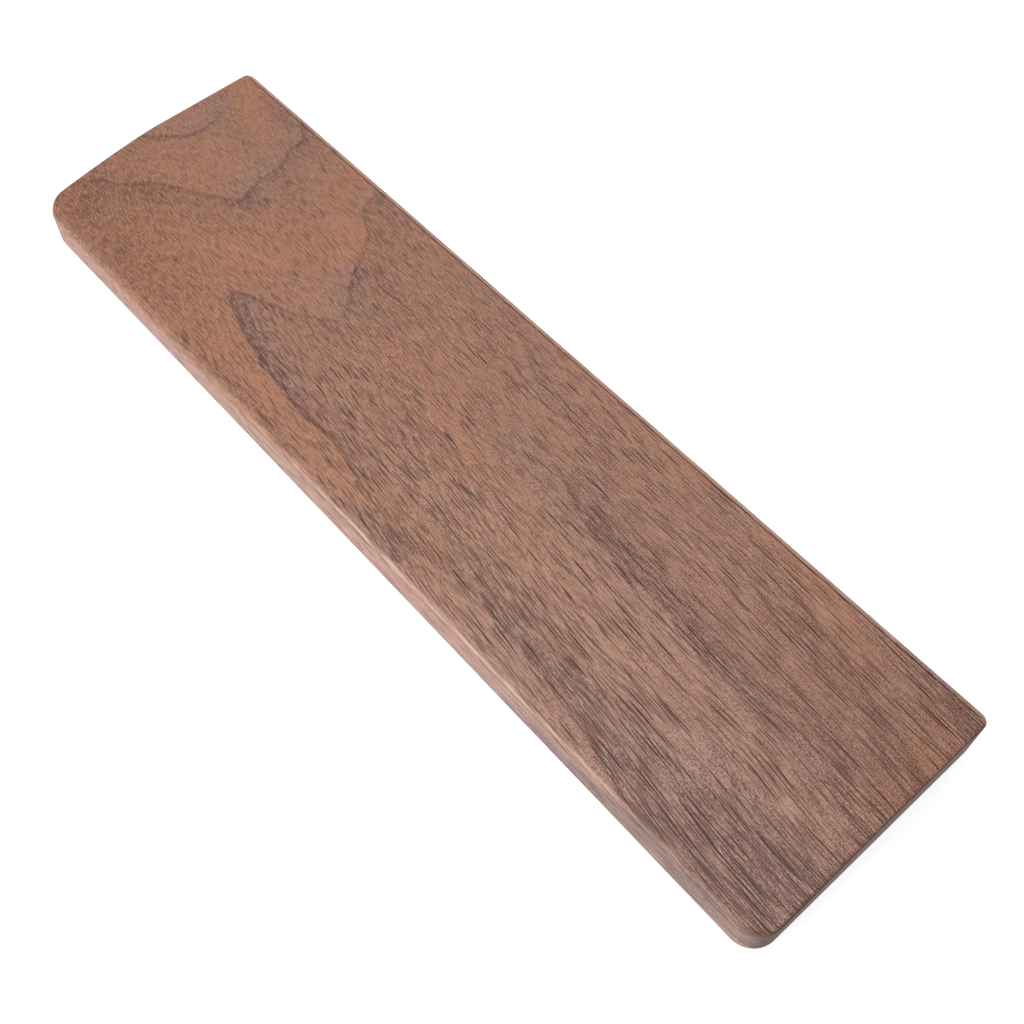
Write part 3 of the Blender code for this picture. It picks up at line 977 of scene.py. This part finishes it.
def rubber_material():
    n, _ = clouded("rubber", RUBBER_CLOUDS, RUBBER_COLOURS, RUBBER_ROUGHNESS)
    grains = n.noise(n.object_place(), RUBBER_GRAINS, RUBBER_GRAIN_DETAIL)
    n.link(n.bump(grains, RUBBER_BUMP, RUBBER_BUMP_DEPTH), n.shader.inputs["Normal"])
    return n.material


def adhesive_material():
    n, cloud = clouded("adhesive", ADHESIVE_CLOUDS, ADHESIVE_COLOURS, ADHESIVE_ROUGHNESS)
    n.link(n.bump(cloud, ADHESIVE_BUMP, ADHESIVE_BUMP_DEPTH), n.shader.inputs["Normal"])
    return n.material


# ---------------------------------------------------------------- the pieces
def make_block():
    """The finished block in place of the plain one."""
    mesh = cut_seats(block_shell())
    mesh.shade_smooth()
    mesh.set_sharp_from_angle(angle=SMOOTH_BELOW)
    paint_figure(mesh)
    mesh.materials.clear()
    mesh.materials.append(walnut_material())
    block = link(bpy.data.objects.new("wood_block", mesh))
    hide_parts("walnut_block")
    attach(block, BODY)


FOOT_SIDES = 96
FOOT_EDGE_ROUND = 0.5 * MM             # of the sole
FOOT_EDGE_STEPS = 6
FOOT_TOP_BEVEL = 0.2 * MM
SOLE_RING = 0.5                        # where a ring divides the sole, as a share of its radius
MERGE_WITHIN = 0.001 * MM


def foot_profile(radius, height):
    """Half section of a foot from the middle of its sole up to the middle of its top."""
    sole = [(0.0, 0.0), (radius * SOLE_RING, 0.0), (radius - FOOT_EDGE_ROUND, 0.0)]
    for step in range(1, FOOT_EDGE_STEPS + 1):
        angle = math.pi / 2 * step / FOOT_EDGE_STEPS
        sole.append((
            radius - FOOT_EDGE_ROUND * (1.0 - math.sin(angle)),
            FOOT_EDGE_ROUND * (1.0 - math.cos(angle)),
        ))
    top = [(radius, height - FOOT_TOP_BEVEL), (radius - FOOT_TOP_BEVEL, height), (0.0, height)]
    return sole + top


def make_feet():
    """A moulded foot in place of each plain one, turned from its half section."""
    material = rubber_material()
    for name in foot_names():
        low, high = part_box(name)
        centre = (low + high) / 2
        bm = bmesh.new()
        profile = foot_profile((high.x - low.x) / 2, high.z - low.z)
        verts = [bm.verts.new((r, 0.0, z)) for r, z in profile]
        edges = [bm.edges.new(pair) for pair in zip(verts, verts[1:])]
        bmesh.ops.spin(
            bm, geom=verts + edges, cent=(0, 0, 0), axis=(0, 0, 1), angle=2 * math.pi,
            steps=FOOT_SIDES, use_merge=True,
        )
        bmesh.ops.remove_doubles(bm, verts=bm.verts, dist=MERGE_WITHIN)
        bmesh.ops.recalc_face_normals(bm, faces=bm.faces)
        bmesh.ops.translate(bm, verts=bm.verts, vec=(centre.x, centre.y, low.z))
        mesh = bpy.data.meshes.new(name)
        bm.to_mesh(mesh)
        bm.free()
        mesh.shade_smooth()
        mesh.set_sharp_from_angle(angle=SMOOTH_BELOW)
        mesh.materials.append(material)
        foot = link(bpy.data.objects.new("rubber_" + name, mesh))
        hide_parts(name)
        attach(foot, BODY)


def finish_adhesive():
    """The adhesive discs keep their plain shape and get a material."""
    material = adhesive_material()
    for name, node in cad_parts.items():
        if name.startswith("adhesive_"):
            node.data.materials.clear()
            node.data.materials.append(material)


# ---------------------------------------------------------------- floor, light, camera
FLOOR_SIZE = 8.0
FLOOR_COLOUR = (0.55, 0.55, 0.55, 1.0)
FLOOR_ROUGHNESS = 0.9
FLOOR_GLOW = 0.7
WHITE = (1.0, 1.0, 1.0, 1.0)
SKY_STRENGTH = 0.35
# Softboxes, each turned towards the middle of the floor: place, width, height and watts.
SOFTBOXES = {
    "overhead": ((-0.10, -0.35, 1.4), 1.3, 1.3, 15.0),
    "front": ((-0.36, -1.30, 0.42), 0.95, 0.70, 11.0),
    "rear": ((-0.50, 1.20, 0.22), 1.40, 0.40, 4.0),
}


def make_floor():
    """A plain pale sheet that glows a little, so that shadows on it stay pale."""
    mesh = bpy.data.meshes.new("floor")
    half = FLOOR_SIZE / 2
    corners = [(-half, -half, 0), (half, -half, 0), (half, half, 0), (-half, half, 0)]
    mesh.from_pydata(corners, [], [(0, 1, 2, 3)])
    n = Nodes("floor")
    n.shader.inputs["Base Color"].default_value = FLOOR_COLOUR
    n.shader.inputs["Roughness"].default_value = FLOOR_ROUGHNESS
    n.shader.inputs["Specular IOR Level"].default_value = 0.0
    n.shader.inputs["Emission Color"].default_value = WHITE
    n.shader.inputs["Emission Strength"].default_value = FLOOR_GLOW
    mesh.materials.append(n.material)
    link(bpy.data.objects.new("floor", mesh))


def add_softbox(name, place, width, height, watts):
    data = bpy.data.lights.new(name, "AREA")
    data.shape = "RECTANGLE"
    data.size = width
    data.size_y = height
    data.energy = watts
    lamp = link(bpy.data.objects.new(name, data))
    lamp.location = place
    lamp.rotation_euler = (-Vector(place)).to_track_quat("-Z", "Y").to_euler()


def make_light():
    scene = bpy.context.scene
    scene.world = bpy.data.worlds.new("studio")
    scene.world.use_nodes = True
    sky = scene.world.node_tree.nodes["Background"]
    sky.inputs["Color"].default_value = WHITE
    sky.inputs["Strength"].default_value = SKY_STRENGTH
    for name, (place, width, height, watts) in SOFTBOXES.items():
        add_softbox(name, place, width, height, watts)
    scene.view_settings.view_transform = "Standard"


CAMERA_PLACE = (0.1657, -0.1319, 0.3224)
CAMERA_TURN = (30.492, 0.102, 48.561)      # degrees
CAMERA_LENS = 47.75                        # millimetres, on a sensor 36 wide
CAMERA_SHIFT = 0.0156                      # each way, as a share of the picture's width
CAMERA_CLIP_START = 0.01


def make_camera():
    data = bpy.data.cameras.new("camera")
    data.lens = CAMERA_LENS
    data.shift_x = CAMERA_SHIFT
    data.shift_y = CAMERA_SHIFT
    data.clip_start = CAMERA_CLIP_START
    camera = link(bpy.data.objects.new("camera", data))
    camera.location = CAMERA_PLACE
    camera.rotation_euler = Euler([math.radians(angle) for angle in CAMERA_TURN])
    bpy.context.scene.camera = camera


make_block()
make_feet()
finish_adhesive()
make_floor()
make_light()
make_camera()
